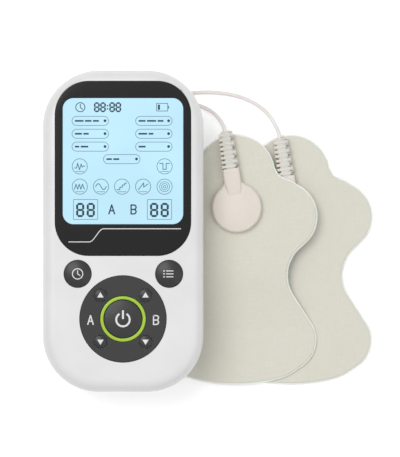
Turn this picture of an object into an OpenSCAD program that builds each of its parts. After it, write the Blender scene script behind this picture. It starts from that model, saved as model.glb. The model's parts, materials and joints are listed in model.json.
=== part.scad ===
// Nerve and muscle stimulator: a pocket controller and two press-stud electrode pads on one Y-shaped lead.
// It lies on a table with the display up. +X is to the right, +Y towards the display end, +Z up.
// The origin is under the middle of the controller, on the face of the belt clip that it lies on.

/* [Controller case] */
// Width of the case
case_w = 60; // [59:0.5:61]
// Length of the case
case_l = 120; // [119:0.5:122]
// Radius of the case's corners, seen from the front
case_r = 21; // [19:0.5:22]
// Radius of the case's long soft edges
edge_r = 4.5; // [4:0.25:5]
// Thickness of the case at the battery end
case_t = 23; // [23:0.25:24]
// Thickness of the case at the display end
head_t = 14; // [13.5:0.25:14]
// Thickness of the case's walls
wall = 2; // [1.8:0.1:2.2]
// How far up the display end the thick battery end reaches
step_y = 22; // [21.5:0.25:22.5]

/* [Display] */
// Width of the dark display lens
lens_w = 50.7; // [50:0.1:51]
// Length of the display lens
lens_l = 65.1; // [64:0.1:66]
// Corner radius of the display lens
lens_r = 12.5; // [11:0.5:14]
// Middle of the lens, up from the middle of the case
lens_y = 23.4; // [23:0.1:24]
// Width of the lit window
window_w = 44.9; // [44:0.1:45.5]
// Length of the lit window
window_l = 47; // [46:0.1:47.5]
// Middle of the lit window, up from the middle of the case
window_y = 26.1; // [25.8:0.1:26.4]

/* [Keys] */
// Radius of the control disc
disc_r = 16.2; // [16:0.1:16.5]
// Middle of the control disc, down from the middle of the case
disc_y = -32.7; // [-33:0.1:-32.4]
// Radius of the round power key
power_r = 7.1; // [7:0.05:7.15]
// Outer radius of the light ring
ring_r = 8.5; // [8.4:0.05:8.6]
// Radius of the two upper keys
upper_key_r = 5.1; // [5:0.05:5.2]
// Radius of the four arrow keys
arrow_key_r = 2.45; // [2.4:0.05:2.5]
// How far a key travels when it is pressed
key_travel = 0.7; // [0.5:0.05:0.7]

/* [Belt clip] */
// Distance from the table to the back of the case, which the belt clip fills
clip_h = 8; // [8:0.25:9]
// Width of the belt clip
clip_w = 16; // [14:0.5:16]
// Thickness of the clip's blade
clip_t = 2.2; // [2:0.1:2.4]
// Lower end of the blade
clip_y0 = -28; // [-28:0.5:-20]

/* [Electrode pads] */
// Middle line of the front pad
front_pad_x = 42.1; // [42:0.1:42.5]
// Middle line of the rear pad
rear_pad_x = 62.9; // [62.5:0.1:63.5]
// Thickness of a pad with its liner
pad_t = 1.4; // [1.4:0.05:1.5]
// Height of the front pad's upper half over the table
front_pad_z = 5.7; // [5.7:0.05:5.9]

/* [Lead] */
// Diameter of the two-core cable
cable_d = 1.7; // [1.6:0.05:1.7]
// Diameter of each single wire
wire_d = 1.5; // [1.4:0.05:1.5]
// Diameter of a snap connector's round head
head_d = 18.9; // [18:0.1:19]
// Thickness of a snap connector
head_thick = 3.75; // [3.5:0.05:3.75]
// Length from the middle of a connector's head to the end of its boot
connector_l = 29.1; // [29:0.1:29.5]
// Length of the ribbed boot
boot_l = 14.3; // [14:0.1:14.5]
// Length of the hank's straight run
hank_run = 32; // [30:0.5:32]

/* [Hidden] */
$fn = 48;
cut = 0.5;              // how far a cutting shape runs past the face that it cuts
gap = 0.1;              // running clearance round a fixed inset piece

// Heights of the controller's layers
back_z = clip_h;
front_z = back_z + case_t;
seam_z = front_z - 12;
thin_z = front_z - head_t;
roof_z = front_z - wall;            // inner face of the front wall
inset_z = front_z - 1.2;            // floor of the recesses for the lens and the disc
pcb_top = front_z - 7.1;
pcb_t = 1.6;
plunger_z = front_z - 4.5;          // top of the switch plungers
key_foot_z = plunger_z + key_travel + 0.05;
flange_z = roof_z - 1.0;
flange_t = 0.8;

// Display module: the glass, and how far the strips that join it to the board are from its middle
glass_w = 46.6;
glass_l = 48.4;
glass_t = 2.2;
strip_y = 23.35;

// Case fasteners
screw_spots = [[-22.6, -46], [22.6, -46], [-7, 54.4], [7, 54.4]];
pcb_spots = [[-24.3, -24], [24.3, -24], [-24.3, -2.5], [24.3, -2.5]];
pilot_r = 0.9;
shank_r = 0.85;
screw_hole_r = 1.3;
well_r = 2.3;
well_deep = 7;                      // depth of the screw wells in the hump
well_thin = 0.9;                    // depth of the screw wells in the display end

// Battery bay and its sliding cover
bay_w = 34.6;
bay_y0 = -54;
bay_y1 = -5;
bay_wall = 1.2;
bay_roof_z = front_z - 10.3;
cover_t = 1.6;
cover_w = 39.6;
cover_y1 = -4.2;
cover_gap = 0.15;
cell_r = 5.25;
cell_l = 44.5;
cell_pitch = 11.2;
cell_z = back_z + cover_t + 0.3 + cell_r;
contact_t = 0.4;

// Keys: [x, y]
left_key_at = [-16.9, -15.9];
right_key_at = [17.2, -15.9];
arrow_x = 8.4;
arrow_up_y = -23.9;
arrow_down_y = -41.2;
key_gap = 0.15;
key_spots = [
    left_key_at, right_key_at, [0, disc_y],
    [-arrow_x, arrow_up_y], [-arrow_x, arrow_down_y], [arrow_x, arrow_up_y], [arrow_x, arrow_down_y]
];

// Output jacks in the step's face
jack_x = 9;
jack_z = back_z + 4.6;
jack_bore_r = 1.27;
jack_bore_l = 11.5;
jack_l = 14;
ferrule_r = 3;

// Snap connectors: head centres, the turn of each lead-out and the height of each head's underside
front_head = [42.5, 8.9];
rear_head = [63.6, 6.2];
front_turn = 8.8;
rear_turn = 9.4;
stud_lift = 0.15;
rear_head_z = pad_t + stud_lift + 0.1;
front_head_z = front_pad_z + pad_t + stud_lift + 0.1;
stud_r = 1.95;
stud_h = 2.3;
socket_bore_r = 2.0;
socket_r = 3.3;
socket_h = 2.6;
neck_w = 6.5;
boot_end_w = 5.2;
boot_t = 3.2;
rear_axis_z = rear_head_z + head_thick / 2;
front_axis_z = front_head_z + head_thick / 2;

// Hank of spare cable: six turns, two wide and three high
hank_x = 18.95;
hank_y = 14;
hank_z = 0.3;
hank_inner_r = 3.05 * cable_d;
hank_outer_r = hank_inner_r + cable_d;
tie_y = [20.4, 24];

// Cable routes, as the middles of the tube's rings
plug_end_y = 44;
turn_r = (jack_z - cable_d / 2) / 2;
plug_route = concat(
    [[-jack_x, plug_end_y + 0.02, jack_z], [-jack_x, plug_end_y + 2.6, jack_z]],
    [for (a = [0:22.5:180])
        [-jack_x, plug_end_y + 5 + turn_r * sin(a), jack_z - turn_r + turn_r * cos(a)]],
    [
        [-9, 45.5, 0.85], [-8.8, 42, 0.85], [-8, 38.6, 0.85], [-6.3, 35.4, 0.85], [-3.7, 32.7, 0.85],
        [-0.5, 30.9, 0.85], [3.1, 30.1, 0.9], [6.6, 29.6, 1.0], [9.6, 28.1, 1.1],
        [hank_x - hank_outer_r - cable_d / 2 + 0.5, 25.4, 1.15]
    ]);
yoke_at = [12, 50];
yoke_size = [12, 5.6, 3.6];
yoke_z = yoke_size[2] / 2;
yoke_route = [
    [hank_x + hank_outer_r, hank_y + hank_run / 2 + 3, 4.55], [25.8, 36, 4.4], [25.4, 38.8, 3.4],
    [24, 41, 2.2], [21.6, 42.3, 1.3], [18.2, 42.6, 0.9], [14, 42.5, 0.85], [9, 42.5, 0.85],
    [5.4, 42.5, 0.85], [2.9, 42.8, 0.85], [1, 43.9, 0.85], [0.2, 46.2, 0.9], [1, 48.5, 1.1],
    [2.9, 49.7, 1.5], [4.9, 50, yoke_z], [yoke_at[0] - yoke_size[0] / 2 - 0.04, 50, yoke_z]
];
yoke_exit_x = yoke_at[0] + yoke_size[0] / 2 + 0.04;

// Point on a connector's own line, past the end of its boot
function lead_out(head, turn, past, z) =
    concat(head + (connector_l + past) * [-sin(turn), cos(turn)], [z]);

front_route = [
    [yoke_exit_x, 49.05, yoke_z], [19, 49.05, yoke_z], [22, 48.8, 1.2], [25.8, 48.2, 0.8],
    [29.3, 47.1, 0.95],
    [32.8, 45.5, 2.1], [35.3, 43.3, 4.6], [36.7, 41.2, 7.2], [37.6, 39.4, 8.8],
    lead_out(front_head, front_turn, 0.9, front_axis_z),
    lead_out(front_head, front_turn, 0.04, front_axis_z)
];
rear_route = [
    [yoke_exit_x, 50.95, yoke_z], [19, 50.95, yoke_z], [22.6, 51.6, 1.2], [27.1, 52.4, 0.8],
    [33.6, 52.5, 0.78],
    [40.7, 51.7, 0.78], [47.2, 49.6, 0.78], [52.4, 46.4, 0.78], [55.8, 42.5, 0.95],
    [57.2, 39.7, 1.7], [58.2, 37.5, 2.9],
    lead_out(rear_head, rear_turn, 0.9, rear_axis_z),
    lead_out(rear_head, rear_turn, 0.04, rear_axis_z)
];

// Layers of a pad: heights over its underside, and how far each is drawn in from the outline
liner_t = 0.1;
gel_top = 0.9;
carbon_top = 1.0;
fabric_inset = 0.6;
carbon_inset = 2;

// The front pad's bend down onto the rear pad
bend_y0 = -38;
bend_y1 = -10;
bend_steps = 10;
low_z = pad_t + 0.1;

// ---------- shared shapes ----------

// Rounded rectangle, w along X and l along Y
module plan(w, l, r) {
    square([w - 2 * r, l], center = true);
    square([w, l - 2 * r], center = true);
    for (sx = [-1, 1], sy = [-1, 1])
        translate([sx * (w / 2 - r), sy * (l / 2 - r)])
            circle(r);
}

// Half of a slab's section: half wide, h high, with its upper outer corner rounded by e
module edge_profile(half, e, h) {
    square([half, h - e]);
    square([half - e, h]);
    translate([half - e, h - e])
        circle(e);
}

// Slab on z = 0 with plan(w, l, r) as its outline and its top edge rounded by e
module slab(w, l, r, e, h) {
    for (sx = [-1, 1], sy = [-1, 1])
        translate([sx * (w / 2 - r), sy * (l / 2 - r), 0])
            rotate_extrude()
                edge_profile(r, e, h);
    rotate([90, 0, 0])
        linear_extrude(l - 2 * r, center = true)
            for (m = [0, 1])
                mirror([m, 0])
                    edge_profile(w / 2, e, h);
    rotate([90, 0, 90])
        linear_extrude(w - 2 * r, center = true)
            for (m = [0, 1])
                mirror([m, 0])
                    edge_profile(l / 2, e, h);
}

// Block from one corner to the opposite one
module block(low, high) {
    translate(low)
        cube(high - low);
}

// Upright cylinder from z0 to z1
module post(at, r, z0, z1) {
    translate([at[0], at[1], z0])
        cylinder(h = z1 - z0, r = r);
}

// Round tube between the middles of its rings
function unit(v) = v / norm(v);
function heading(p, i) = unit(p[min(i + 1, len(p) - 1)] - p[max(i - 1, 0)]);
function across(v, t) = unit(v - (v * t) * t);
function sides(p, v, i = 0) =
    i == len(p) ? [] : let(n = across(v, heading(p, i))) concat([n], sides(p, n, i + 1));
module tube(path, d, around = 8) {
    count = len(path);
    normals = sides(path, abs(heading(path, 0)[0]) > 0.9 ? [0, 1, 0] : [1, 0, 0]);
    points = [
        for (i = [0:count - 1], k = [0:around - 1])
            let(a = 360 * (k + 0.5) / around, n = normals[i], b = cross(heading(path, i), n))
                path[i] + d / 2 * (cos(a) * n + sin(a) * b)
    ];
    walls = [
        for (i = [0:count - 2], k = [0:around - 1])
            let(a = i * around + k, b = i * around + (k + 1) % around)
                [a, a + around, b + around, b]
    ];
    ends = [
        [for (k = [0:around - 1]) k],
        [for (k = [around - 1:-1:0]) (count - 1) * around + k]
    ];
    polyhedron(points, concat(walls, ends), convexity = 6);
}

// ---------- controller case ----------

module case_posts(spots, r, z0) {
    for (p = spots)
        post(p, r, z0, roof_z + 0.2);
}

module front_shell() {
    color([0.90, 0.90, 0.89])
        difference() {
            union() {
                difference() {
                    translate([0, 0, seam_z])
                        slab(case_w, case_l, case_r, edge_r, front_z - seam_z);
                    translate([0, 0, seam_z - cut])
                        slab(case_w - 2 * wall, case_l - 2 * wall, case_r - wall, edge_r - wall,
                            roof_z - seam_z + cut);
                }
                case_posts(screw_spots, 2.6, seam_z + 0.1);
                case_posts(pcb_spots, 1.8, pcb_top);
            }
            translate([0, lens_y, inset_z])
                linear_extrude(2)
                    plan(lens_w + 2 * gap, lens_l + 2 * gap, lens_r + gap);
            translate([0, window_y, roof_z - cut])
                linear_extrude(3)
                    plan(window_w + 0.6, window_l + 0.6, 4);
            post([0, disc_y], disc_r + gap, inset_z, front_z + cut);
            post([0, disc_y], ring_r + 0.05, roof_z - cut, front_z);
            for (x = [-arrow_x, arrow_x], y = [arrow_up_y, arrow_down_y])
                post([x, y], arrow_key_r + key_gap, roof_z - cut, front_z);
            for (p = [left_key_at, right_key_at])
                post(p, upper_key_r + key_gap, roof_z - cut, front_z + cut);
            for (p = screw_spots)
                post(p, pilot_r, seam_z, roof_z - 1);
            for (p = pcb_spots)
                post(p, pilot_r, pcb_top - cut, roof_z - 1);
        }
}

// The cover and the channel that it slides in: a dovetail, wider inside than outside
module dovetail(w, t, y0, y1) {
    translate([0, y1, back_z])
        rotate([90, 0, 0])
            linear_extrude(y1 - y0)
                polygon([[-w / 2 + 0.8, 0], [w / 2 - 0.8, 0], [w / 2, t], [-w / 2, t]]);
}

// The hump and the thin display end as one solid, wall t, or their inside when t is the wall's thickness
module rear_solid(t, over) {
    difference() {
        translate([0, 0, seam_z + over])
            mirror([0, 0, 1])
                slab(case_w - 2 * t, case_l - 2 * t, case_r - t, edge_r - t, seam_z + over - back_z - t);
        block([-case_w, step_y - t, 0], [case_w, case_l, t > 0 ? seam_z + 2 : thin_z]);
    }
}

module rear_shell() {
    color([0.88, 0.88, 0.87])
        difference() {
            union() {
                difference() {
                    rear_solid(0, 0);
                    rear_solid(wall, cut);
                }
                // frame and box of the battery bay
                block([-cover_w / 2 - 1.6, bay_y0 + 4, back_z + 1],
                    [cover_w / 2 + 1.6, cover_y1 + 1.4, back_z + 3.2]);
                block([-bay_w / 2 - bay_wall, bay_y0 - bay_wall, back_z + 1],
                    [bay_w / 2 + bay_wall, bay_y1 + bay_wall, bay_roof_z + bay_wall]);
                for (p = [screw_spots[0], screw_spots[1]])
                    post(p, 3.2, back_z + 1, seam_z);
            }
            block([-bay_w / 2, bay_y0, back_z - cut], [bay_w / 2, bay_y1, bay_roof_z]);
            dovetail(cover_w + 2 * cover_gap, cover_t + gap, -case_l, cover_y1 + cover_gap);
            for (p = [screw_spots[0], screw_spots[1]]) {
                post(p, screw_hole_r, back_z, seam_z + cut);
                post(p, well_r, back_z - cut, back_z + well_deep);
            }
            for (p = [screw_spots[2], screw_spots[3]]) {
                post(p, screw_hole_r, thin_z - cut, seam_z + cut);
                post(p, well_r, thin_z - cut, thin_z + well_thin);
            }
            for (x = [-jack_x, jack_x])
                translate([x, step_y + cut, jack_z])
                    rotate([90, 0, 0])
                        cylinder(h = wall + 2 * cut, r = ferrule_r + 0.05);
        }
}

module battery_cover() {
    color([0.88, 0.88, 0.87])
        difference() {
            intersection() {
                dovetail(cover_w, cover_t, -case_l / 2 - 1, cover_y1);
                rear_solid(0, 0);
            }
            for (i = [0:5])
                translate([0, -case_l / 2 + 8 + 1.8 * i, back_z])
                    cube([16 - 1.2 * i, 0.8, 0.8], center = true);
        }
}

module belt_clip() {
    root_y0 = 11;
    root_y1 = step_y - 1;
    color([0.86, 0.86, 0.85])
        difference() {
            union() {
                translate([0, (clip_y0 + root_y1) / 2, 0])
                    linear_extrude(clip_t)
                        plan(clip_w, root_y1 - clip_y0, 4);
                translate([0, (root_y0 + root_y1) / 2, 0])
                    linear_extrude(back_z)
                        plan(clip_w, root_y1 - root_y0, 3);
                translate([0, clip_y0 + 4, clip_t - 0.6])
                    rotate([0, 90, 0])
                        cylinder(h = clip_w - 8, r = 1.6, center = true);
            }
            block([-case_w, clip_y0 - 5, -5], [case_w, root_y1 + 5, 0]);
        }
}

module case_screws() {
    color([0.62, 0.62, 0.64])
        for (i = [0:3]) {
            under = i < 2 ? back_z + well_deep - 1.2 : thin_z + 0.1;
            seat = i < 2 ? back_z + well_deep - 0.02 : thin_z + well_thin - 0.02;
            difference() {
                union() {
                    post(screw_spots[i], 2, under, seat);
                    post(screw_spots[i], shank_r, seat - 0.1, seat + 9.9);
                }
                translate([screw_spots[i][0], screw_spots[i][1], under])
                    for (a = [0, 90])
                        rotate([0, 0, a])
                            cube([2.4, 0.5, 0.8], center = true);
            }
        }
}

module pcb_screws() {
    under = pcb_top - pcb_t;
    color([0.70, 0.70, 0.72])
        for (p = pcb_spots)
            difference() {
                union() {
                    post(p, 1.7, under - 1.1, under - 0.02);
                    post(p, shank_r, under - 0.5, under + 4.5);
                }
                translate([p[0], p[1], under - 1.1])
                    for (a = [0, 90])
                        rotate([0, 0, a])
                            cube([2, 0.5, 0.8], center = true);
            }
}

// ---------- display ----------

module screen_lens() {
    color([0.17, 0.17, 0.18])
        translate([0, lens_y, inset_z + 0.02])
            linear_extrude(1.36)
                plan(lens_w, lens_l, lens_r);
}

module lcd_glass() {
    color([0.77, 0.93, 0.99])
        translate([0, window_y, roof_z - glass_t])
            linear_extrude(glass_t - 0.02)
                plan(glass_w, glass_l, 4);
}

module lcd_backlight() {
    color([0.93, 0.96, 0.98])
        block([-23, window_y - 22.5, roof_z - 4.5], [23, window_y + 22.5, roof_z - glass_t - 0.05]);
}

module zebra_strips() {
    color([0.85, 0.55, 0.65])
        for (y = [window_y - strip_y, window_y + strip_y])
            block([-20, y - 0.8, pcb_top + 0.02], [20, y + 0.8, roof_z - glass_t - 0.02]);
}

module control_disc() {
    color([0.27, 0.27, 0.28])
        difference() {
            post([0, disc_y], disc_r, inset_z + 0.02, front_z + 0.1);
            post([0, disc_y], ring_r + 0.05, inset_z - cut, front_z + cut);
            for (x = [-arrow_x, arrow_x], y = [arrow_up_y, arrow_down_y])
                post([x, y], arrow_key_r + key_gap, inset_z - cut, front_z + cut);
        }
}

module light_ring() {
    color([0.65, 0.80, 0.18])
        difference() {
            union() {
                post([0, disc_y], ring_r, flange_z, front_z + 0.15);
                post([0, disc_y], ring_r + 0.45, flange_z, roof_z - 0.05);
            }
            post([0, disc_y], power_r + key_gap, flange_z - cut, front_z + cut);
        }
}

// ---------- electronics ----------

module main_pcb() {
    color([0.12, 0.38, 0.22])
        difference() {
            translate([0, -0.5, pcb_top - pcb_t])
                linear_extrude(pcb_t)
                    plan(52.6, 103, 14);
            for (p = [screw_spots[0], screw_spots[1]])
                post(p, 2.9, pcb_top - 3, pcb_top + 1);
            for (p = pcb_spots)
                post(p, 1.1, pcb_top - 3, pcb_top + 1);
        }
}

// [x, y, width, length, height] of the packages on the front of the board, and of those on its back
front_parts = [
    [-14, -49, 7, 4, 1.2], [13, -49.5, 5, 4, 1.6], [20.5, -33, 5, 7, 1.2], [-20.5, -34, 5, 5, 1.6],
    [0, -14, 9, 9, 1.2], [0, -5.5, 3, 2, 0.9], [6, -6, 3, 1.6, 0.9], [-6, -6, 3, 1.6, 0.9]
];
back_parts = [[-18, 24, 10, 10, 1.4], [16, 26, 6, 5, 1.2], [0, 38, 12, 5, 2], [20, 38, 4, 3, 1.2]];

module pcb_components() {
    color([0.15, 0.15, 0.16]) {
        for (c = front_parts)
            translate([c[0], c[1], pcb_top + 0.02 + c[4] / 2])
                cube([c[2], c[3], c[4]], center = true);
        for (c = back_parts)
            translate([c[0], c[1], pcb_top - pcb_t - 0.02 - c[4] / 2])
                cube([c[2], c[3], c[4]], center = true);
    }
}

module pulse_transformers() {
    color([0.75, 0.62, 0.20])
        for (x = [-19, 19])
            translate([x, 4, 0]) {
                block([-6, -3, pcb_top - pcb_t - 8.6], [6, 3, pcb_top - pcb_t - 0.02]);
                post([0, 0], 4.8, pcb_top - pcb_t - 7.2, pcb_top - pcb_t - 1.2);
            }
}

module buzzer() {
    color([0.12, 0.12, 0.13])
        difference() {
            post([0, 2.6], 5, pcb_top - pcb_t - 4.2, pcb_top - pcb_t - 0.02);
            post([0, 2.6], 0.8, pcb_top - pcb_t - 5, pcb_top - pcb_t - 3.2);
        }
}

module tact_switches() {
    color([0.55, 0.55, 0.57])
        for (p = key_spots) {
            block([p[0] - 3, p[1] - 3, pcb_top + 0.02], [p[0] + 3, p[1] + 3, pcb_top + 2.1]);
            post(p, 1.6, pcb_top + 2, plunger_z);
        }
}

module ring_leds() {
    color([0.80, 0.92, 0.55])
        for (a = [0:90:270])
            translate([9.2 * cos(a), disc_y + 9.2 * sin(a), pcb_top + 0.52])
                cube([1.6, 1.6, 1], center = true);
}

// ---------- outputs and battery ----------

module jack(x) {
    color([0.13, 0.13, 0.14])
        difference() {
            union() {
                block([x - 3.4, step_y - jack_l, jack_z - 2.55],
                    [x + 3.4, step_y - wall - 0.05, jack_z + 2.55]);
                translate([x, step_y + 0.1, jack_z])
                    rotate([90, 0, 0])
                        cylinder(h = wall + 0.6, r = ferrule_r);
            }
            translate([x, step_y + 1, jack_z])
                rotate([90, 0, 0])
                    cylinder(h = jack_bore_l + 1, r = jack_bore_r);
        }
}

module jack_wires() {
    color([0.75, 0.16, 0.14])
        for (x = [-jack_x, jack_x], dx = [-1.6, 1.6])
            post([x + dx, step_y - jack_l + 1.5], 0.45, jack_z + 2.57, pcb_top - pcb_t - 0.02);
}

// Cells lie side by side along Y, the middle one turned round
function cell_turned(i) = i == 0;
module battery_cells() {
    color([0.20, 0.35, 0.62])
        for (i = [-1:1])
            translate([cell_pitch * i, (bay_y0 + bay_y1) / 2, cell_z])
                rotate([cell_turned(i) ? 90 : -90, 0, 0])
                    translate([0, 0, (bay_y1 - bay_y0) / 2 - contact_t - 0.15 - cell_l]) {
                        cylinder(h = cell_l - 1, r = cell_r);
                        cylinder(h = cell_l, r = 1.8);
                    }
}

module battery_contacts() {
    color([0.80, 0.80, 0.80])
        for (i = [-1:1], y = [bay_y0 + contact_t / 2 + 0.1, bay_y1 - contact_t / 2 - 0.1])
            translate([cell_pitch * i, y, cell_z])
                cube([9, contact_t, 8.6], center = true);
}

module battery_springs() {
    turns = 2.5;
    steps = 24;
    room = bay_y1 - bay_y0 - 2 * contact_t - cell_l - 0.25;
    color([0.78, 0.78, 0.80])
        for (i = [-1:1])
            translate([cell_pitch * i, (bay_y0 + bay_y1) / 2, cell_z])
                rotate([cell_turned(i) ? -90 : 90, 0, 0])
                    translate([0, 0, (bay_y1 - bay_y0) / 2 - contact_t - 0.1 - room])
                        tube([for (s = [0:steps])
                            let(f = s / steps, a = 360 * turns * f, r = 2.4 + 1.4 * f)
                                [r * cos(a), r * sin(a), 0.45 + (room - 0.9) * f]], 0.6, 6);
}

// ---------- keys ----------

// A key cap with a domed top, a flange that stops it under the front wall, and a foot over its switch
module key(at, r, flange_r, top, sag) {
    dome_r = (r * r + sag * sag) / (2 * sag);
    intersection() {
        union() {
            post(at, r, flange_z - 0.1, top);
            post(at, flange_r, flange_z - 0.1, flange_z - 0.1 + flange_t);
            post(at, 1.5, key_foot_z, flange_z);
        }
        translate([at[0], at[1], top - dome_r])
            sphere(dome_r, $fn = 96);
    }
}

module power_key() {
    sag = 0.5;
    dome_r = (power_r * power_r + sag * sag) / (2 * sag);
    top = front_z + 0.9;
    color([0.24, 0.24, 0.25])
        union() {
            intersection() {
                post([0, disc_y], power_r, flange_z - 0.5, top);
                translate([0, disc_y, top - dome_r])
                    sphere(dome_r, $fn = 96);
            }
            post([0, disc_y], 8, key_foot_z + 0.1, flange_z - 0.15);
            post([0, disc_y], 1.5, key_foot_z, flange_z - 0.5);
        }
}

module left_key() {
    color([0.27, 0.27, 0.28])
        key(left_key_at, upper_key_r, upper_key_r + 0.8, front_z + 1.1, 0.9);
}

module right_key() {
    color([0.27, 0.27, 0.28])
        key(right_key_at, upper_key_r, upper_key_r + 0.8, front_z + 1.1, 0.9);
}

module arrow_key(x, y) {
    color([0.29, 0.29, 0.30])
        key([x, y], arrow_key_r, arrow_key_r + 0.45, front_z + 0.9, 0.5);
}

// ---------- lead ----------

module plug_pin() {
    color([0.82, 0.80, 0.74])
        translate([-jack_x, step_y + 1.5, jack_z])
            rotate([90, 0, 0]) {
                cylinder(h = 12.3, r = jack_bore_r - 0.05);
                translate([0, 0, 12.3])
                    cylinder(h = 0.5, r1 = jack_bore_r - 0.05, r2 = 0.7);
            }
}

module plug_body() {
    color([0.80, 0.78, 0.76])
        difference() {
            translate([-jack_x, 37, jack_z])
                rotate([90, 0, 0]) {
                    cylinder(h = 37 - step_y - 0.25, r = 3.4);
                    for (i = [0:3])
                        translate([0, 0, 4 + 2 * i])
                            cylinder(h = 1, r = 3.7);
                }
            translate([-jack_x, step_y + 1.51, jack_z])
                rotate([90, 0, 0])
                    cylinder(h = 3, r = jack_bore_r);
        }
}

module plug_boot() {
    color([0.80, 0.78, 0.76])
        translate([-jack_x, 37.02, jack_z])
            rotate([-90, 0, 0])
                difference() {
                    cylinder(h = plug_end_y - 37.04, r1 = 2.6, r2 = 1.5);
                    for (i = [0:2], a = [0, 180])
                        rotate([0, 0, a + 90 * (i % 2)])
                            translate([1.1, -4, 1.2 + 1.8 * i])
                                cube([4, 8, 0.6]);
                }
}

module plug_cable() {
    color([0.86, 0.86, 0.85])
        tube(plug_route, cable_d);
}

module yoke_cable() {
    color([0.86, 0.86, 0.85])
        tube(yoke_route, cable_d);
}

module lead_hank() {
    r_out = hank_outer_r + cable_d / 2;
    r_in = hank_inner_r - cable_d / 2;
    color([0.86, 0.86, 0.85])
        translate([hank_x, hank_y, hank_z])
            linear_extrude(3 * cable_d)
                difference() {
                    plan(2 * r_out, hank_run + 2 * r_out, r_out - 0.001);
                    plan(2 * r_in, hank_run + 2 * r_in, r_in - 0.001);
                }
}

module hank_tie() {
    r_out = hank_outer_r + cable_d / 2;
    top = hank_z + 3 * cable_d;
    color([0.92, 0.92, 0.90])
        difference() {
            block([hank_x - r_out - 0.35, tie_y[0], 0], [hank_x + r_out + 0.35, tie_y[1], top + 0.3]);
            block([hank_x - r_out - 0.02, tie_y[0] - 1, hank_z - 0.02],
                [hank_x + r_out + 0.02, tie_y[1] + 1, top + 0.02]);
        }
}

module yoke() {
    color([0.88, 0.86, 0.84])
        translate([yoke_at[0], yoke_at[1], 0])
            intersection() {
                linear_extrude(yoke_size[2])
                    plan(yoke_size[0], yoke_size[1], 1.5);
                rotate([90, 0, 90])
                    linear_extrude(yoke_size[0] + 1, center = true)
                        translate([0, yoke_z])
                            plan(yoke_size[1], yoke_size[2], 1.2);
            }
}

module front_wire() {
    color([0.90, 0.90, 0.90])
        tube(front_route, wire_d);
}

module rear_wire() {
    color([0.90, 0.90, 0.90])
        tube(rear_route, wire_d);
}

// Puts a connector's own frame, head at the origin and lead-out along +Y, at its place
module at_connector(head, turn, z) {
    translate([head[0], head[1], z])
        rotate([0, 0, turn])
            children();
}

module connector_shell() {
    shoulder = connector_l - boot_l;
    difference() {
        union() {
            rotate_extrude()
                edge_profile(head_d / 2, 1.2, head_thick);
            block([-neck_w / 2, 2, 0], [neck_w / 2, shoulder, head_thick - 0.4]);
        }
        translate([0, 0, -cut])
            cylinder(h = socket_h + cut + 0.05, r = socket_r + 0.02);
    }
}

module connector_boot() {
    shoulder = connector_l - boot_l;
    mid = head_thick / 2;
    notch = 1.2;
    difference() {
        translate([0, 0, mid - boot_t / 2])
            linear_extrude(boot_t)
                polygon([
                    [-neck_w / 2, shoulder + 0.02], [neck_w / 2, shoulder + 0.02],
                    [boot_end_w / 2, connector_l], [-boot_end_w / 2, connector_l]
                ]);
        for (i = [0:3], side = [-1, 1])
            translate([side * 2.6, shoulder + 2.2 + 3.4 * i + (side > 0 ? 1.7 : 0), 0])
                translate([side > 0 ? 0 : -3, -notch / 2, -1])
                    cube([3, notch, head_thick + 2]);
    }
}

module snap_socket() {
    difference() {
        cylinder(h = socket_h, r = socket_r);
        translate([0, 0, -cut])
            cylinder(h = stud_h + 0.4 + cut, r = socket_bore_r);
    }
}

// ---------- electrode pads ----------

function arc(c, r, a0, a1, n) = [for (i = [0:n]) let(a = a0 + (a1 - a0) * i / n) c + r * [cos(a), sin(a)]];

// Right half of a pad's outline from its lower end to its upper end, drawn in by d
function pad_half(d) = concat(
    arc([0, 8.1], 66 - d, -90, -76.5, 3),
    [[19.9 - 0.5 * d, -54.3 + 0.85 * d]],
    arc([18.5, -41], 12.1 - d, -64, 30, 7),
    arc([33.5, -16.7], 13.8 + d, 212, 126, 7),
    arc([17.5, 5.5], 13.4 - d, -46, 66, 8),
    [[19.4 - 0.4 * d, 19.9 - 0.9 * d], [15.9 - 0.8 * d, 21.2 - 0.5 * d]],
    arc([0, 21.6], 14.9 - d, 6, 90, 7)
);
module pad_outline(d) {
    half = pad_half(d);
    last = len(half) - 1;
    polygon(concat(half, [for (i = [last - 1:-1:1]) [-half[i][0], half[i][1]]]));
}

// Height of the front pad's underside: level on the connector and hank, then down onto the rear pad
function eased(f) = let(g = min(max(f, 0), 1)) g * g * (3 - 2 * g);
function front_pad_height(y) = low_z + (front_pad_z - low_z) * eased((y - bend_y0) / (bend_y1 - bend_y0));
bend_line = concat(
    [-70],
    [for (i = [0:bend_steps]) bend_y0 + (bend_y1 - bend_y0) * i / bend_steps],
    [50]
);

// One layer of a pad, d inside the outline and from z0 to z1 over the pad's underside
module front_layer(d, z0, z1) {
    last = len(bend_line) - 1;
    intersection() {
        translate([front_pad_x, 0, 0])
            linear_extrude(20)
                pad_outline(d);
        rotate([90, 0, 90])
            linear_extrude(90)
                polygon(concat(
                    [for (y = bend_line) [y, front_pad_height(y) + z0]],
                    [for (i = [last:-1:0]) [bend_line[i], front_pad_height(bend_line[i]) + z1]]
                ));
    }
}

module rear_layer(d, z0, z1) {
    translate([rear_pad_x, 0, z0])
        linear_extrude(z1 - z0)
            pad_outline(d);
}

module pad_stud(at, z) {
    color([0.80, 0.80, 0.82]) {
        post(at, 4.2, z + pad_t + 0.01, z + pad_t + stud_lift);
        post(at, stud_r, z + pad_t + 0.05, z + pad_t + stud_lift + stud_h);
    }
}

module pad_color() {
    color([0.85, 0.85, 0.79])
        children();
}

module gel_color() {
    color([0.94, 0.93, 0.88])
        children();
}

module connector_color() {
    color([0.91, 0.87, 0.83])
        children();
}

// ---------- nodes ----------

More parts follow.
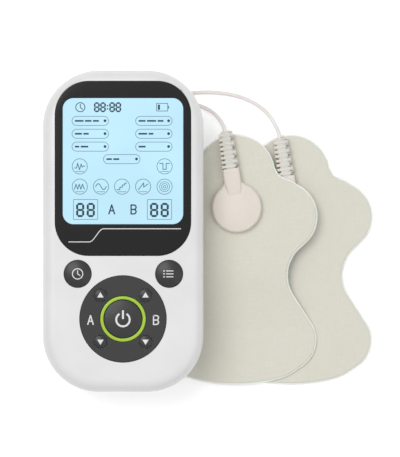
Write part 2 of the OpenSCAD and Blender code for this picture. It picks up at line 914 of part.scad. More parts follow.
front_shell();
rear_shell();
belt_clip();
case_screws();
pcb_screws();
screen_lens();
lcd_glass();
lcd_backlight();
zebra_strips();
control_disc();
light_ring();
main_pcb();
pcb_components();
pulse_transformers();
buzzer();
tact_switches();
ring_leds();
jack(-jack_x);  // jack_a
jack(jack_x);  // jack_b
jack_wires();
battery_cells();
battery_springs();
battery_contacts();
battery_cover();
power_key();
left_key();
right_key();
arrow_key(-arrow_x, arrow_up_y);  // a_up_key
arrow_key(-arrow_x, arrow_down_y);  // a_down_key
arrow_key(arrow_x, arrow_up_y);  // b_up_key
arrow_key(arrow_x, arrow_down_y);  // b_down_key
plug_pin();
plug_body();
plug_boot();
plug_cable();
lead_hank();
hank_tie();
yoke_cable();
yoke();
front_wire();
rear_wire();
connector_color() at_connector(front_head, front_turn, front_head_z) connector_shell();  // front_connector_shell
connector_color() at_connector(front_head, front_turn, front_head_z) connector_boot();  // front_connector_boot
color([0.8, 0.8, 0.82]) at_connector(front_head, front_turn, front_head_z) snap_socket();  // front_snap_socket
connector_color() at_connector(rear_head, rear_turn, rear_head_z) connector_shell();  // rear_connector_shell
connector_color() at_connector(rear_head, rear_turn, rear_head_z) connector_boot();  // rear_connector_boot
color([0.8, 0.8, 0.82]) at_connector(rear_head, rear_turn, rear_head_z) snap_socket();  // rear_snap_socket
pad_stud(front_head, front_pad_z);  // front_pad_stud
pad_color() front_layer(fabric_inset, carbon_top, pad_t);  // front_pad_fabric
color([0.2, 0.2, 0.2]) front_layer(carbon_inset, gel_top, carbon_top);  // front_pad_carbon
gel_color() front_layer(0, liner_t, gel_top);  // front_pad_gel
color([0.9, 0.95, 1]) front_layer(0, 0, liner_t);  // front_pad_liner
pad_stud(rear_head, 0);  // rear_pad_stud
pad_color() rear_layer(fabric_inset, carbon_top, pad_t);  // rear_pad_fabric
color([0.2, 0.2, 0.2]) rear_layer(carbon_inset, gel_top, carbon_top);  // rear_pad_carbon
gel_color() rear_layer(0, liner_t, gel_top);  // rear_pad_gel
color([0.9, 0.95, 1]) rear_layer(0, 0, liner_t);  // rear_pad_liner
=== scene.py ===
"""Looks of a TENS unit: controller, lead and two electrode pads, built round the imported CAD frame.

Lengths are in mm and turned into metres where an object is made, unless a name ends in _M.
"""
import json
import math

import bmesh
import bpy
from mathutils import Matrix, Vector


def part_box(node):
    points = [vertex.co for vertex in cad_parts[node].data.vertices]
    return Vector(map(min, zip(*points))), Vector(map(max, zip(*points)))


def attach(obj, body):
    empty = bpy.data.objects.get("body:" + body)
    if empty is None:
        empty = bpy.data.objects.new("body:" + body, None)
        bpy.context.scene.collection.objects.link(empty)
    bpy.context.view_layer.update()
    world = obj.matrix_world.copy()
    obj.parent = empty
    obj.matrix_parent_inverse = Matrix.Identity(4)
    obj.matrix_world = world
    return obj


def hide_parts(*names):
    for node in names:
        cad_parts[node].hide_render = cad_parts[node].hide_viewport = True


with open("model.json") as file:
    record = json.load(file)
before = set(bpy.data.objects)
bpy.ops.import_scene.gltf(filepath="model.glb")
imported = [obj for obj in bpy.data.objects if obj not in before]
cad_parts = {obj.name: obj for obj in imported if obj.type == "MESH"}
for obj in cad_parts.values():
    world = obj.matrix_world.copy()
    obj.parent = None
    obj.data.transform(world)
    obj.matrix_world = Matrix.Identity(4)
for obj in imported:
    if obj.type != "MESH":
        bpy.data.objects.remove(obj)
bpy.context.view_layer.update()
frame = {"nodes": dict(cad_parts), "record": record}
nodes = frame["nodes"]
record = frame["record"]
MM = 0.001


# ---------- places, all from the frame ----------

def middle(node):
    """Middle of a node's box, in mm."""
    low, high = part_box(node)
    return (low + high) / 2 / MM


def low_of(node):
    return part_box(node)[0] / MM


def high_of(node):
    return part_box(node)[1] / MM


face_z = high_of("front_shell").z
lens_mid = middle("screen_lens")
lens_size = high_of("screen_lens") - low_of("screen_lens")
disc_mid = middle("control_disc")
disc_top = high_of("control_disc").z
SLOT_OF = {part["node"]: part["material_slot"] for part in record["subparts"]}


# ---------- materials ----------

def new_material(name):
    material = bpy.data.materials.new(name)
    material.use_nodes = True
    tree = material.node_tree
    return material, tree, tree.nodes["Principled BSDF"]


def link(tree, source, output, target, socket):
    tree.links.new(source.outputs[output], target.inputs[socket])


def object_coords(tree, scale=(1, 1, 1)):
    coords = tree.nodes.new("ShaderNodeTexCoord")
    mapping = tree.nodes.new("ShaderNodeMapping")
    mapping.inputs["Scale"].default_value = scale
    link(tree, coords, "Object", mapping, "Vector")
    return mapping


def noise(tree, coords, scale, detail=3.0, rough=0.5):
    """Noise with about that number of patches to the metre."""
    node = tree.nodes.new("ShaderNodeTexNoise")
    node.inputs["Scale"].default_value = scale
    node.inputs["Detail"].default_value = detail
    node.inputs["Roughness"].default_value = rough
    link(tree, coords, "Vector", node, "Vector")
    return node


def ramp(tree, source, output, stops):
    node = tree.nodes.new("ShaderNodeValToRGB")
    node.color_ramp.elements[0].position = stops[0][0]
    node.color_ramp.elements[0].color = stops[0][1]
    node.color_ramp.elements[1].position = stops[-1][0]
    node.color_ramp.elements[1].color = stops[-1][1]
    for place, colour in stops[1:-1]:
        node.color_ramp.elements.new(place).color = colour
    link(tree, source, output, node, "Fac")
    return node


def bump(tree, shader, source, output, height, strength=1.0):
    """Surface relief of that height, in mm."""
    node = tree.nodes.new("ShaderNodeBump")
    node.inputs["Strength"].default_value = strength
    node.inputs["Distance"].default_value = height * MM
    link(tree, source, output, node, "Height")
    link(tree, node, "Normal", shader, "Normal")


def shade(colour, factor):
    return tuple(min(1.0, c * factor) for c in colour[:3]) + (1.0,)


def moulded(name, colour, rough=0.4, grain=0.012, coat=0.0, spread=0.03, specular=0.5, subsurface=0.0):
    """Moulded plastic: a fine spark-eroded grain, slightly uneven colour and gloss."""
    material, tree, shader = new_material(name)
    coords = object_coords(tree)
    patches = noise(tree, coords, 60, 2)
    tint = ramp(tree, patches, "Fac", [(0.3, shade(colour, 1 - spread)), (0.7, shade(colour, 1 + spread))])
    link(tree, tint, "Color", shader, "Base Color")
    fine = noise(tree, coords, 3200, 4, 0.65)
    bump(tree, shader, fine, "Fac", grain)
    gloss = tree.nodes.new("ShaderNodeMapRange")
    gloss.inputs["To Min"].default_value = rough * 0.9
    gloss.inputs["To Max"].default_value = rough * 1.12
    link(tree, patches, "Fac", gloss, "Value")
    link(tree, gloss, "Result", shader, "Roughness")
    shader.inputs["Coat Weight"].default_value = coat
    shader.inputs["Coat Roughness"].default_value = 0.12
    shader.inputs["Specular IOR Level"].default_value = specular
    if subsurface:
        shader.inputs["Subsurface Weight"].default_value = subsurface
        shader.inputs["Subsurface Scale"].default_value = 0.002
    return material


def metal(name, colour, rough=0.25, streaks=900):
    """Plated or drawn metal with fine streaks along Y."""
    material, tree, shader = new_material(name)
    coords = object_coords(tree, (1, 0.05, 1))
    lines = noise(tree, coords, streaks, 3)
    tint = ramp(tree, lines, "Fac", [(0.3, shade(colour, 0.9)), (0.7, shade(colour, 1.05))])
    link(tree, tint, "Color", shader, "Base Color")
    bump(tree, shader, lines, "Fac", 0.01, 0.6)
    shader.inputs["Metallic"].default_value = 1.0
    shader.inputs["Roughness"].default_value = rough
    return material


def nonwoven(name, colour):
    """Spun-laced cloth: short crossing fibres, faint cloudy patches of tone and soft sheen."""
    material, tree, shader = new_material(name)
    along = noise(tree, object_coords(tree, (1.0, 0.12, 1.0)), 2600, 5, 0.7)
    crossing = noise(tree, object_coords(tree, (0.12, 1.0, 1.0)), 2200, 5, 0.7)
    fibres = tree.nodes.new("ShaderNodeMath")
    fibres.operation = "MAXIMUM"
    link(tree, along, "Fac", fibres, 0)
    link(tree, crossing, "Fac", fibres, 1)
    clouds = noise(tree, object_coords(tree), 90, 4)
    mixed = tree.nodes.new("ShaderNodeMix")
    mixed.data_type = "RGBA"
    mixed.blend_type = "MULTIPLY"
    mixed.inputs[0].default_value = 1.0
    tint = ramp(tree, fibres, "Value", [(0.42, shade(colour, 0.965)), (0.62, shade(colour, 1.02))])
    cloud = ramp(tree, clouds, "Fac", [(0.3, (0.98, 0.985, 0.975, 1)), (0.7, (1, 1, 1, 1))])
    link(tree, tint, "Color", mixed, 6)  # the colour sockets of a Mix node have numbers of their own
    link(tree, cloud, "Color", mixed, 7)
    link(tree, mixed, 2, shader, "Base Color")
    bump(tree, shader, fibres, "Value", 0.035, 0.6)
    shader.inputs["Roughness"].default_value = 0.92
    shader.inputs["Sheen Weight"].default_value = 0.25
    shader.inputs["Sheen Roughness"].default_value = 0.5
    shader.inputs["Specular IOR Level"].default_value = 0.2
    return material


def lit_display(name, colour):
    """Back-lit liquid crystal: an even glow with faint cloudiness."""
    material, tree, shader = new_material(name)
    coords = object_coords(tree)
    clouds = noise(tree, coords, 45, 2)
    tint = ramp(tree, clouds, "Fac", [(0.35, shade(colour, 0.97)), (0.65, shade(colour, 1.03))])
    link(tree, tint, "Color", shader, "Emission Color")
    dim = ramp(tree, clouds, "Fac", [(0.35, shade(colour, 0.34)), (0.65, shade(colour, 0.36))])
    link(tree, dim, "Color", shader, "Base Color")
    shader.inputs["Emission Strength"].default_value = 0.68
    shader.inputs["Roughness"].default_value = 0.35
    shader.inputs["Specular IOR Level"].default_value = 0.12
    return material


def clear_film(name, colour, rough=0.15, alpha=0.45):
    """Thin see-through sheet with slow waves."""
    material, tree, shader = new_material(name)
    coords = object_coords(tree)
    waves = noise(tree, coords, 240, 2)
    tint = ramp(tree, waves, "Fac", [(0.3, shade(colour, 0.96)), (0.7, shade(colour, 1.0))])
    link(tree, tint, "Color", shader, "Base Color")
    bump(tree, shader, waves, "Fac", 0.03, 0.5)
    shader.inputs["Roughness"].default_value = rough
    shader.inputs["Alpha"].default_value = alpha
    return material


CASE = moulded("case_white", (0.78, 0.78, 0.78), 0.36, 0.006, coat=0.25)
LENS = moulded("lens_black", (0.011, 0.011, 0.012), 0.2, 0.002, coat=0.05, specular=0.2)
LCD = lit_display("lcd_lit", (0.53, 0.82, 0.97))
INK = moulded("lcd_ink", (0.02, 0.06, 0.085), 0.5, 0.0, specular=0.2)
INK_SOFT = moulded("lcd_ink_soft", (0.10, 0.21, 0.25), 0.5, 0.0, specular=0.2)
PRINT = moulded("print_light", (0.78, 0.78, 0.78), 0.5, 0.004, specular=0.3)
GREY = moulded("disc_grey", (0.042, 0.042, 0.043), 0.45, 0.012, specular=0.25)
KEY = moulded("key_grey", (0.030, 0.030, 0.031), 0.34, 0.010, coat=0.06, specular=0.35)
GREEN = moulded("ring_green", (0.38, 0.60, 0.02), 0.3, 0.004, coat=0.4, subsurface=0.3)
OVERMOULD = moulded("overmould", (0.78, 0.715, 0.65), 0.42, 0.014, subsurface=0.15)
WIRE = moulded("wire_white", (0.80, 0.80, 0.78), 0.30, 0.004, coat=0.3, subsurface=0.4)
GEL = moulded("pad_gel", (0.93, 0.92, 0.86), 0.35, 0.006, subsurface=0.3)
CLOTH = nonwoven("pad_cloth", (0.73, 0.715, 0.628))
LINER = clear_film("pad_liner", (0.86, 0.90, 0.93))
TIN = metal("tin", (0.75, 0.75, 0.77))
STEEL = metal("screw_steel", (0.55, 0.55, 0.57), 0.35)
BRASS = metal("copper", (0.72, 0.45, 0.18), 0.3)
PCB = moulded("pcb_green", (0.02, 0.11, 0.045), 0.35, 0.02, coat=0.5)
PACKAGE = moulded("component_black", (0.018, 0.018, 0.02), 0.5, 0.02)
CELL = moulded("cell_blue", (0.03, 0.09, 0.30), 0.25, 0.004, coat=0.5)
RUBBER = moulded("zebra", (0.60, 0.22, 0.34), 0.6, 0.01)
CARBON = moulded("pad_carbon", (0.02, 0.02, 0.021), 0.6, 0.02)
LIGHT = moulded("backlight", (0.82, 0.87, 0.90), 0.4, 0.004, subsurface=0.3)
RED = moulded("wire_red", (0.50, 0.03, 0.02), 0.4, 0.004)
BY_SLOT = {
    "case_white": CASE, "lens_black": LENS, "lcd": LCD, "backlight": LIGHT, "zebra": RUBBER,
    "disc_grey": GREY, "key_grey": KEY, "ring_green": GREEN,
    "pcb_green": PCB, "component_black": PACKAGE, "copper": BRASS, "tin": TIN, "cell_blue": CELL,
    "wire_red": RED, "lead_white": WIRE, "overmould": OVERMOULD,
    "pad_cloth": CLOTH, "pad_carbon": CARBON, "pad_gel": GEL, "pad_liner": LINER,
}


# ---------- mesh helpers ----------

def finish_piece(name, mesh, material, body, replaced=(), smooth=True):
    """Links a mesh, given in mm in the CAD frame, as a piece that rides on a body."""
    mesh.transform(Matrix.Scale(MM, 4))
    piece = bpy.data.objects.new(name, mesh)
    bpy.context.scene.collection.objects.link(piece)
    mesh.materials.append(material)
    if smooth:
        mesh.shade_smooth()
    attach(piece, body)
    if replaced:
        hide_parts(*replaced)
    return piece


def mesh_from(name, points, faces):
    """Mesh with doubled points joined and its faces turned outwards."""
    mesh = bpy.data.meshes.new(name)
    mesh.from_pydata([tuple(p) for p in points], [], faces)
    mesh.validate()
    work = bmesh.new()
    work.from_mesh(mesh)
    bmesh.ops.remove_doubles(work, verts=work.verts, dist=1e-5)
    bmesh.ops.recalc_face_normals(work, faces=work.faces)
    work.to_mesh(mesh)
    work.free()
    return mesh


def sharp_by_angle(piece, degrees=40):
    """Keeps edges over that angle crisp and lets the larger faces set the normals."""
    piece.data.set_sharp_from_angle(angle=math.radians(degrees))
    weighted = piece.modifiers.new("even_normals", "WEIGHTED_NORMAL")
    weighted.keep_sharp = True


def lathe(name, profile, centre, around=96):
    """Turned solid: profile is a list of (radius, z) from the bottom axis point to the top one."""
    points, faces = [], []
    for r, z in profile:
        for k in range(around):
            a = 2 * math.pi * k / around
            points.append((centre[0] + r * math.cos(a), centre[1] + r * math.sin(a), z))
    for i in range(len(profile) - 1):
        for k in range(around):
            a, b = i * around + k, i * around + (k + 1) % around
            faces.append((a, b, b + around, a + around))
    return mesh_from(name, points, faces)


def arc(cx, cy, r, a0, a1, steps=6):
    """Points of a round from angle a0 to a1, in degrees."""
    return [
        (cx + r * math.cos(math.radians(a0 + (a1 - a0) * i / steps)),
         cy + r * math.sin(math.radians(a0 + (a1 - a0) * i / steps)))
        for i in range(steps + 1)
    ]


def eased(share):
    """0 to 1, starting and ending level."""
    share = min(max(share, 0), 1)
    return share * share * (3 - 2 * share)


def rounded_loop(cx, cy, w, h, r, steps=12):
    """Outline of a rounded rectangle, anticlockwise from its lower right corner."""
    loop = []
    for sx, sy, start in ((1, -1, -90), (1, 1, 0), (-1, 1, 90), (-1, -1, 180)):
        loop += arc(cx + sx * (w / 2 - r), cy + sy * (h / 2 - r), r, start, start + 90, steps)
    return loop


def skin(name, rings, cap_first=True, cap_last=True):
    """Joins rings of equal length, each a list of 3-D points, into a closed surface."""
    count = len(rings[0])
    points = [p for ring in rings for p in ring]
    faces = []
    for i in range(len(rings) - 1):
        for k in range(count):
            a, b = i * count + k, i * count + (k + 1) % count
            faces.append((a, b, b + count, a + count))
    if cap_first:
        faces.append(tuple(reversed(range(count))))
    if cap_last:
        faces.append(tuple(range((len(rings) - 1) * count, len(rings) * count)))
    return mesh_from(name, points, faces)


class Marks:
    """Flat printed shapes, in mm, laid on a surface whose height is lift(x, y)."""

    LAYERS, LAYER_STEP = 6, 0.0015  # shapes lie on several levels, so that two that cross share no plane

    def __init__(self, lift):
        self.lift, self.points, self.faces = lift, [], []

    def poly(self, outline):
        first, layer = len(self.points), self.LAYER_STEP * (len(self.faces) % self.LAYERS)
        self.points += [(x, y, self.lift(x, y) + layer) for x, y in outline]
        self.faces.append(tuple(range(first, first + len(outline))))

    def bar(self, x, y, w, h, turn=0.0):
        c, s = math.cos(math.radians(turn)), math.sin(math.radians(turn))
        corners = [(-w / 2, -h / 2), (w / 2, -h / 2), (w / 2, h / 2), (-w / 2, h / 2)]
        self.poly([(x + c * u - s * v, y + s * u + c * v) for u, v in corners])

    def stroke(self, line, width):
        """A bent line of one width, in short pieces so that it follows a dome."""
        for (ax, ay), (bx, by) in zip(line, line[1:]):
            length = math.hypot(bx - ax, by - ay)
            turn = math.degrees(math.atan2(by - ay, bx - ax))
            self.bar((ax + bx) / 2, (ay + by) / 2, length + width * 0.6, width, turn)

    def ring(self, x, y, inner, outer, start=0, end=360, steps=32):
        for i in range(steps):
            a, b = (math.radians(start + (end - start) * k / steps) for k in (i, i + 1))
            self.poly([
                (x + inner * math.cos(a), y + inner * math.sin(a)),
                (x + outer * math.cos(a), y + outer * math.sin(a)),
                (x + outer * math.cos(b), y + outer * math.sin(b)),
                (x + inner * math.cos(b), y + inner * math.sin(b)),
            ])

    def disc(self, x, y, r, steps=24):
        self.poly([
            (x + r * math.cos(2 * math.pi * k / steps), y + r * math.sin(2 * math.pi * k / steps))
            for k in range(steps)
        ])

    def frame(self, x, y, w, h, r, line):
        outer = rounded_loop(x, y, w, h, r, 6)
        inner = rounded_loop(x, y, w - 2 * line, h - 2 * line, max(r - line, 0.01), 6)
        for k in range(len(outer)):
            n = (k + 1) % len(outer)
            self.poly([outer[k], outer[n], inner[n], inner[k]])

    def digit_eight(self, x, y, h, line):
        """Seven lit segments; h is the height between the middles of the outer ones."""
        w, t, gap = h * 0.5, line / 2, 0.05
        for level in (-1, 0, 1):
            cy, x0, x1 = y + level * h / 2, x - w / 2 + gap, x + w / 2 - gap
            self.poly([
                (x0, cy), (x0 + t, cy - t), (x1 - t, cy - t), (x1, cy), (x1 - t, cy + t), (x0 + t, cy + t),
            ])
        for side in (-1, 1):
            for level in (-1, 1):
                cx = x + side * w / 2
                y0, y1 = y + min(level, 0) * h / 2 + gap, y + max(level, 0) * h / 2 - gap
                self.poly([
                    (cx, y0), (cx + t, y0 + t), (cx + t, y1 - t), (cx, y1), (cx - t, y1 - t), (cx - t, y0 + t),
                ])

    def letter_a(self, x, y, h, line):
        w = h * 0.62
        self.stroke([(x - w / 2, y - h / 2), (x, y + h / 2), (x + w / 2, y - h / 2)], line)
        self.bar(x, y - h * 0.14, w * 0.62, line)

    def letter_b(self, x, y, h, line):
        w = h * 0.56
        left = x - w / 2
        self.stroke([(left, y - h / 2), (left, y + h / 2)], line)
        for level in (-1, 1):
            r, cy = h / 4, y + level * h / 4
            bowl = arc(x + w / 2 - r, cy, r, -90, 90, 10)
            self.stroke([(left, cy - r)] + bowl + [(left, cy + r)], line)

    def piece(self, name, material, body, slot_name, curved=False):
        """Makes the piece. Marks on a dome are cut finer, and each point is laid on the dome."""
        mesh = bpy.data.meshes.new(name)
        mesh.from_pydata(self.points, [], self.faces)
        work = bmesh.new()
        work.from_mesh(mesh)
        if curved:
            bmesh.ops.triangulate(work, faces=work.faces)
            bmesh.ops.subdivide_edges(work, edges=work.edges, cuts=3, use_grid_fill=True)
            for v in work.verts:
                v.co.z = self.lift(v.co.x, v.co.y)
        for f in work.faces:
            f.normal_update()
            if f.normal.z < 0:
                f.normal_flip()
        work.to_mesh(mesh)
        work.free()
        return finish_piece(name, mesh, material, body, smooth=False)


# ---------- camera and light ----------

LENS_FOCUS, SENSOR = 500, 36
VIEW_HEIGHT_M = 0.1703  # seen at the height of the case's face
VIEW_MIDDLE_M = (0.0287, 0.0010)


def make_camera():
    """Straight down on the controller's face, from far away, as the object is seen."""
    data = bpy.data.cameras.new("camera")
    data.lens, data.sensor_width = LENS_FOCUS, SENSOR
    data.clip_start, data.clip_end = 0.05, 20
    camera = bpy.data.objects.new("camera", data)
    camera.location = (*VIEW_MIDDLE_M, VIEW_HEIGHT_M * LENS_FOCUS / SENSOR + face_z * MM)
    bpy.context.scene.collection.objects.link(camera)
    bpy.context.scene.camera = camera


def area_light(name, place, aim, size, power):
    """Round soft light; place, aim and size in metres."""
    data = bpy.data.lights.new(name, "AREA")
    data.shape = "DISK"
    data.size, data.energy = size, power
    light = bpy.data.objects.new(name, data)
    bpy.context.scene.collection.objects.link(light)
    light.location = place
    light.rotation_euler = (Vector(aim) - Vector(place)).to_track_quat("-Z", "Y").to_euler()


FLOOR_HALF_M, FLOOR_Z_M = 6, -0.0004
SKY = [(0.0, (0.22, 0.22, 0.22, 1)), (0.35, (0.5, 0.5, 0.5, 1)), (0.9, (1, 1, 1, 1))]


def make_stage():
    """White floor, a studio that is brighter overhead, and two soft lights."""
    corners = [
        (sx * FLOOR_HALF_M, sy * FLOOR_HALF_M, FLOOR_Z_M) for sx, sy in ((-1, -1), (1, -1), (1, 1), (-1, 1))
    ]
    floor = bpy.data.objects.new("floor", mesh_from("floor", corners, [(0, 1, 2, 3)]))
    bpy.context.scene.collection.objects.link(floor)
    material, _, shader = new_material("floor_white")
    shader.inputs["Base Color"].default_value = (0.92, 0.92, 0.92, 1)
    shader.inputs["Roughness"].default_value = 0.6
    shader.inputs["Emission Color"].default_value = (1, 1, 1, 1)
    shader.inputs["Emission Strength"].default_value = 0.3
    floor.data.materials.append(material)
    world = bpy.data.worlds.new("studio")
    world.use_nodes = True
    tree = world.node_tree
    coords = tree.nodes.new("ShaderNodeTexCoord")
    split = tree.nodes.new("ShaderNodeSeparateXYZ")
    link(tree, coords, "Generated", split, "Vector")
    sky = ramp(tree, split, "Z", SKY)
    link(tree, sky, "Color", tree.nodes["Background"], "Color")
    tree.nodes["Background"].inputs["Strength"].default_value = 0.8
    bpy.context.scene.world = world
    area_light("key", (-0.45, 0.5, 1.5), (0.02, 0, 0), 1.0, 9.5)
    area_light("fill", (0.9, -0.3, 1.4), (0.03, 0, 0), 1.2, 2.2)
    bpy.context.scene.view_settings.view_transform = "Standard"


make_camera()
make_stage()


# ---------- CAD nodes that stay ----------

for node_name, node_object in nodes.items():
    node_object.data.materials.clear()
    node_object.data.materials.append(STEEL if "screws" in node_name else BY_SLOT[SLOT_OF[node_name]])

SOFT_EDGES = {"front_shell": 0.22, "belt_clip": 0.3, "battery_cover": 0.15}


def soften(node, width):
    """Breaks the moulded part's hard edges. Its CAD vertices stay as they are under the modifiers."""
    weld = nodes[node].modifiers.new("weld", "WELD")
    weld.merge_threshold = 1e-6
    edges = nodes[node].modifiers.new("soft_edges", "BEVEL")
    edges.width = width * MM
    edges.segments = 2
    edges.limit_method = "ANGLE"
    edges.angle_limit = math.radians(50)


for node_name, width in SOFT_EDGES.items():
    soften(node_name, width)


# ---------- lead: cable, wires and what is on them ----------

def curve_piece(name, points, diameter, material, body, replaced):
    """A round cord along points in mm."""
    data = bpy.data.curves.new(name, "CURVE")
    data.dimensions = "3D"
    data.bevel_depth = diameter / 2 * MM
    data.bevel_resolution = 5
    data.use_fill_caps = True
    data.resolution_u = 8
    spline = data.splines.new("NURBS")
    spline.points.add(len(points) - 1)
    for p, place in zip(spline.points, points):
        p.co = (*(v * MM for v in place), 1)
    spline.use_endpoint_u = True
    spline.order_u = 4
    piece = bpy.data.objects.new(name, data)
    bpy.context.scene.collection.objects.link(piece)
    data.materials.append(material)
    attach(piece, body)
    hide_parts(*replaced)
    return piece


def measure(points):
    """Length of a route through its points."""
    return sum((Vector(b) - Vector(a)).length for a, b in zip(points, points[1:]))


CABLE, SINGLE = 1.7, 1.5  # diameters of the two-core cable and of one wire
PLUG_X = -9
PLUG_EXIT = (PLUG_X, 44.02, 12.6)
LOOP_Y, LOOP_Z, LOOP_R = 49, 6.725, 5.875  # half turn behind the plug, down to the table
plug_run = [PLUG_EXIT, (PLUG_X, 45.3, 12.6), (PLUG_X, 46.6, 12.6)]
plug_run += [
    (PLUG_X, LOOP_Y + LOOP_R * math.sin(math.radians(a)), LOOP_Z + LOOP_R * math.cos(math.radians(a)))
    for a in range(0, 181, 18)
]
plug_run += [
    (PLUG_X, 45.5, 0.85), (-8.8, 42, 0.85), (-8, 38.6, 0.85), (-6.3, 35.4, 0.85), (-3.7, 32.7, 0.85),
    (-0.5, 30.9, 0.85), (3.1, 30.1, 0.9), (6.6, 29.6, 1.0), (9.6, 28.1, 1.1), (11.6, 25.6, 1.15),
]

HANK_X, HANK_Y = 18.95, 14
HALF_RUN = 16
INNER, OUTER = 5.185, 6.885
TURNS = [(OUTER, 1.15), (INNER, 1.15), (INNER, 2.85), (OUTER, 2.85), (INNER, 4.55), (OUTER, 4.55)]
CHANGE = 36  # degrees of the upper bend in which the cable goes over to its next turn


def hank_run():
    """Six flat turns; each change of place happens in its own part of the upper bend."""
    points = []
    for n, (r, z) in enumerate(TURNS):
        down = (10, 4, -4, -10) if n else (7, 1, -4, -10)
        points += [(HANK_X - r, HANK_Y + y, z) for y in down]
        points += [(x, y, z) for x, y in arc(HANK_X, HANK_Y - HALF_RUN, r, 180, 360, 12)]
        points += [(HANK_X + r, HANK_Y + y, z) for y in (-10, -4, 4, 10)]
        if n == len(TURNS) - 1:
            break
        next_r, next_z = TURNS[n + 1]
        begins = 180 - CHANGE * (n + 1)
        for a in range(0, 181, 15):
            share = eased((a - begins) / CHANGE)
            bend_r, bend_z = r + (next_r - r) * share, z + (next_z - z) * share
            points.append((
                HANK_X + bend_r * math.cos(math.radians(a)),
                HANK_Y + HALF_RUN + bend_r * math.sin(math.radians(a)), bend_z))
    return points


yoke_run = [
    (25.835, 33, 4.55), (25.8, 36, 4.4), (25.4, 38.8, 3.4), (24, 41, 2.2), (21.6, 42.3, 1.3), (18.2, 42.6, 0.9),
    (14, 42.5, 0.85), (9, 42.5, 0.85), (5.4, 42.5, 0.85), (2.9, 42.8, 0.85), (1, 43.9, 0.85), (0.2, 46.2, 0.9),
    (1, 48.5, 1.1), (2.9, 49.7, 1.5), (4.9, 50, 1.8), (5.96, 50, 1.8),
]
main_run = plug_run + hank_run() + yoke_run


def connector_place(head, turn, z):
    """Turns a connector's own point, lead-out along +Y, to its place."""
    c, s = math.cos(math.radians(turn)), math.sin(math.radians(turn))

    def place(x, y, h=0.0):
        return (head[0] + c * x - s * y, head[1] + s * x + c * y, z + h)
    return place


HEAD_R, HEAD_T = 9.45, 3.75
BOOT_END, BOOT_LENGTH = 29.1, 14.3  # end of the strain relief, from the head's middle, and its length
SHOULDER = BOOT_END - BOOT_LENGTH
LEAD_IN = 4  # hidden in the boot
front_place = connector_place((42.5, 8.9), 8.8, low_of("front_connector_shell").z)
rear_place = connector_place((63.6, 6.2), 9.4, low_of("rear_connector_shell").z)


def into_boot(place):
    """A wire's last two points: just outside the boot, and its end inside it."""
    return [place(0, BOOT_END + 0.9, HEAD_T / 2), place(0, BOOT_END - LEAD_IN, HEAD_T / 2)]


front_run = [
    (18.04, 49.05, 1.8), (19, 49.05, 1.8), (22, 48.8, 1.2), (25.8, 48.2, 0.8), (29.3, 47.1, 0.95),
    (32.8, 45.5, 2.1), (35.3, 43.3, 4.6), (36.7, 41.2, 7.2), (37.6, 39.4, 8.8),
] + into_boot(front_place)
rear_run = [
    (18.04, 50.95, 1.8), (19, 50.95, 1.8), (22.6, 51.6, 1.2), (27.1, 52.4, 0.8), (33.6, 52.5, 0.78),
    (40.7, 51.7, 0.78), (47.2, 49.6, 0.78), (52.4, 46.4, 0.78), (55.8, 42.5, 0.95), (57.2, 39.7, 1.7),
    (58.2, 37.5, 2.9),
] + into_boot(rear_place)

lead_cable = curve_piece(
    "lead_cable", main_run, CABLE, WIRE, "lead", ("plug_cable", "lead_hank", "yoke_cable"))
front_wire = curve_piece("front_wire_line", front_run, SINGLE, WIRE, "lead", ("front_wire",))
rear_wire = curve_piece("rear_wire_line", rear_run, SINGLE, WIRE, "lead", ("rear_wire",))


# ---------- press-stud connectors ----------

SOCKET_R, SOCKET_TOP = 3.35, 2.62  # opening under the head for its metal socket

def connector_head(name, place, base, replaced):
    """Round head with a soft edge and a low dome, open below round its metal socket."""
    r, t = HEAD_R, HEAD_T
    profile = [
        (0.001, SOCKET_TOP), (SOCKET_R, SOCKET_TOP), (SOCKET_R, 0.15), (SOCKET_R + 0.15, 0.0), (r - 1.15, 0.0),
    ]
    profile += arc(r - 0.9, 0.9, 0.9, -90, 0, 6)
    profile += arc(r - 1.5, t - 2.45, 1.5, 0, 62, 8)
    profile += [
        (7.6, t - 0.93), (6.6, t - 0.72), (5.2, t - 0.48), (3.6, t - 0.29), (1.8, t - 0.18), (0.001, t - 0.15),
    ]
    mesh = lathe(name, profile, (0, 0), 128)
    for v in mesh.vertices:
        v.co = place(v.co.x, v.co.y, v.co.z)
    piece = finish_piece(name, mesh, OVERMOULD, base, replaced)
    sharp_by_angle(piece, 50)
    return piece


def section(place, y, half, low, high, upper, lower):
    """Ring across a connector, its corners rounded by upper above and by lower below."""
    ring = []
    for sx, start in ((1, 0), (-1, 90)):
        ring += [place(x, y, h) for x, h in arc(sx * (half - upper), high - upper, upper, start, start + 90, 6)]
    for sx, start in ((-1, 180), (1, 270)):
        ring += [place(x, y, h) for x, h in arc(sx * (half - lower), low + lower, lower, start, start + 90, 4)]
    return ring


def neck(name, place, base):
    """Raised spine from the head's middle to the boot: rounded, a little wider where it meets the head."""
    stations = [  # along the neck: place, half width, underside, top
        (3.9, 1.7, 2.6, 3.16), (4.8, 2.2, 2.4, 3.3), (5.8, 2.6, 2.1, 3.42), (7.0, 2.85, 1.6, 3.55),
        (8.3, 3.02, 0.9, 3.68), (9.6, 3.13, 0.35, 3.74), (11.4, 3.2, 0.2, 3.75), (13.2, 3.2, 0.2, 3.75),
        (SHOULDER - 0.1, 3.2, 0.2, 3.74), (SHOULDER, 3.05, 0.3, 3.6),
    ]
    rings = []
    for y, half, low, high in stations:
        e = min(0.9, (high - low) * 0.42)
        rings.append(section(place, y, half, low, high, e, e * 0.6))
    piece = finish_piece(name, skin(name, rings), OVERMOULD, base)
    sharp_by_angle(piece, 60)
    return piece


